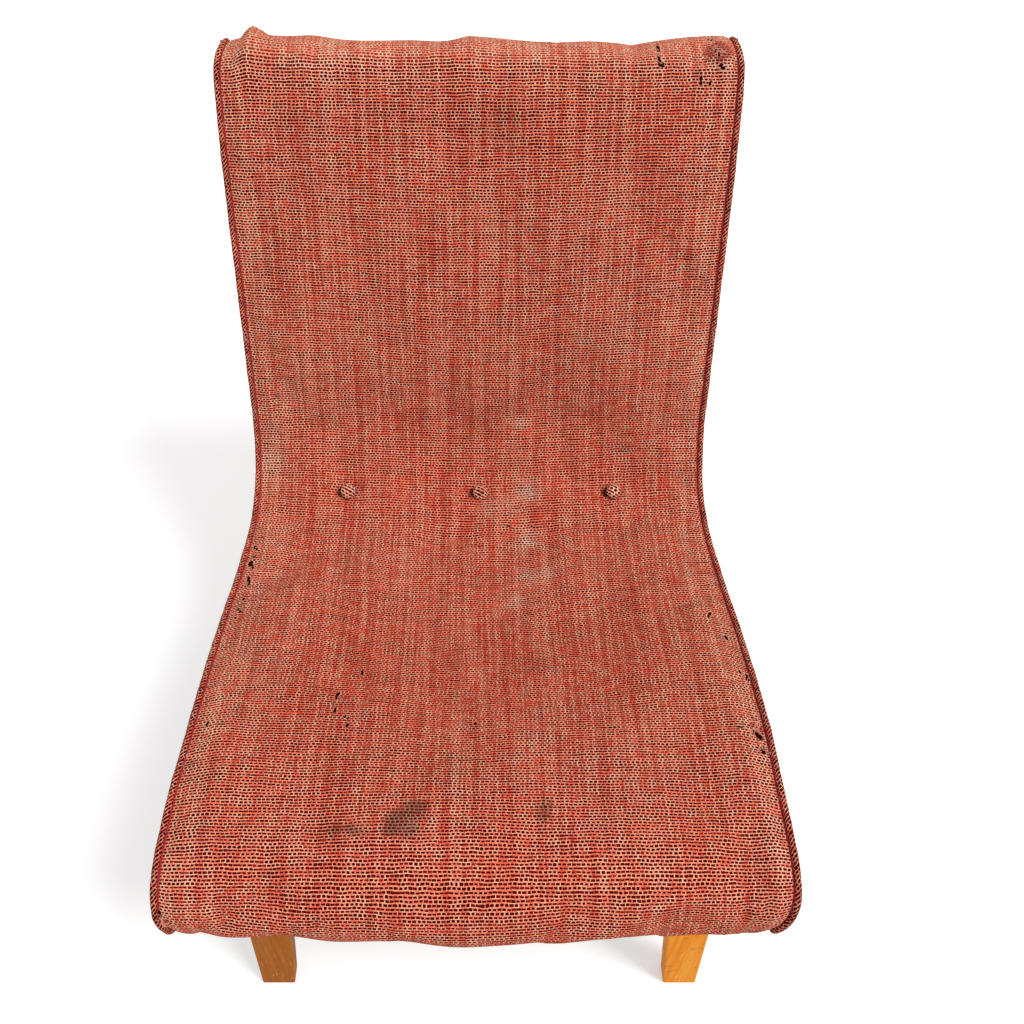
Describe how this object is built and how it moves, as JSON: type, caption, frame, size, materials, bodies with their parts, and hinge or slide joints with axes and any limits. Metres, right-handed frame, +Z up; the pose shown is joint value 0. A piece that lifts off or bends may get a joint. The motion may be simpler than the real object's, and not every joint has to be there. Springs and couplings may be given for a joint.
{
  "type": "armless lounge chair",
  "caption": "Low armless lounge chair with one continuous sagging padded seat and back in a worn coarse weave, piped edges, covered buttons and tapered blond wooden legs.",
  "frame": {"origin": "centre of the bounding box at floor level, where the four feet stand", "axes": "+Z up, +Y from the front of the seat towards the back, +X to the right as seen from in front, which is the sitter's left"},
  "size_m": [0.6, 0.8233, 0.8186],
  "materials": {
    "woven_cloth": "coarse faded coral weave, worn and stained",
    "welt_cloth": "the same weave cut on the bias",
    "border_cloth": "the same weave, less faded",
    "button_cloth": "the same weave over a button mould",
    "blond_wood": "worn satin varnish, scuffed at the feet",
    "frame_wood": "rough sawn",
    "padding": "cotton and hair felt",
    "hessian": "open jute weave",
    "dust_cover_cloth": "plain black cambric",
    "spring_steel": "dark drawn wire",
    "bolt_steel": "dull zinc"
  },
  "bodies": {
    "root": {"front_cover": "woven_cloth", "back_cover": "border_cloth", "side_border_left": "border_cloth", "piping_left": "welt_cloth", "side_border_right": "border_cloth", "piping_right": "welt_cloth", "button_left": "button_cloth", "button_centre": "button_cloth", "button_right": "button_cloth", "seat_pad": "padding", "back_pad": "padding", "seat_hessian": "hessian", "back_hessian": "hessian", "dust_cover": "dust_cover_cloth", "seat_spring_1": "spring_steel", "seat_spring_clip_1_front": "spring_steel", "seat_spring_clip_1_rear": "spring_steel", "seat_spring_2": "spring_steel", "seat_spring_clip_2_front": "spring_steel", "seat_spring_clip_2_rear": "spring_steel", "seat_spring_3": "spring_steel", "seat_spring_clip_3_front": "spring_steel", "seat_spring_clip_3_rear": "spring_steel", "seat_spring_4": "spring_steel", "seat_spring_clip_4_front": "spring_steel", "seat_spring_clip_4_rear": "spring_steel", "back_spring_1": "spring_steel", "back_spring_clip_1_lower": "spring_steel", "back_spring_clip_1_upper": "spring_steel", "back_spring_2": "spring_steel", "back_spring_clip_2_lower": "spring_steel", "back_spring_clip_2_upper": "spring_steel", "back_spring_3": "spring_steel", "back_spring_clip_3_lower": "spring_steel", "back_spring_clip_3_upper": "spring_steel", "front_rail": "frame_wood", "rear_rail": "frame_wood", "lower_back_rail": "frame_wood", "top_rail": "frame_wood", "side_rail_left": "frame_wood", "back_post_left": "frame_wood", "corner_block_front_left": "frame_wood", "corner_block_rear_left": "frame_wood", "front_leg_left": "blond_wood", "rear_leg_left": "blond_wood", "front_leg_bolt_left_1": "bolt_steel", "rear_leg_bolt_left_1": "bolt_steel", "front_leg_bolt_left_2": "bolt_steel", "rear_leg_bolt_left_2": "bolt_steel", "side_rail_right": "frame_wood", "back_post_right": "frame_wood", "corner_block_front_right": "frame_wood", "corner_block_rear_right": "frame_wood", "front_leg_right": "blond_wood", "rear_leg_right": "blond_wood", "front_leg_bolt_right_1": "bolt_steel", "rear_leg_bolt_right_1": "bolt_steel", "front_leg_bolt_right_2": "bolt_steel", "rear_leg_bolt_right_2": "bolt_steel"}
  },
  "joints": []
}
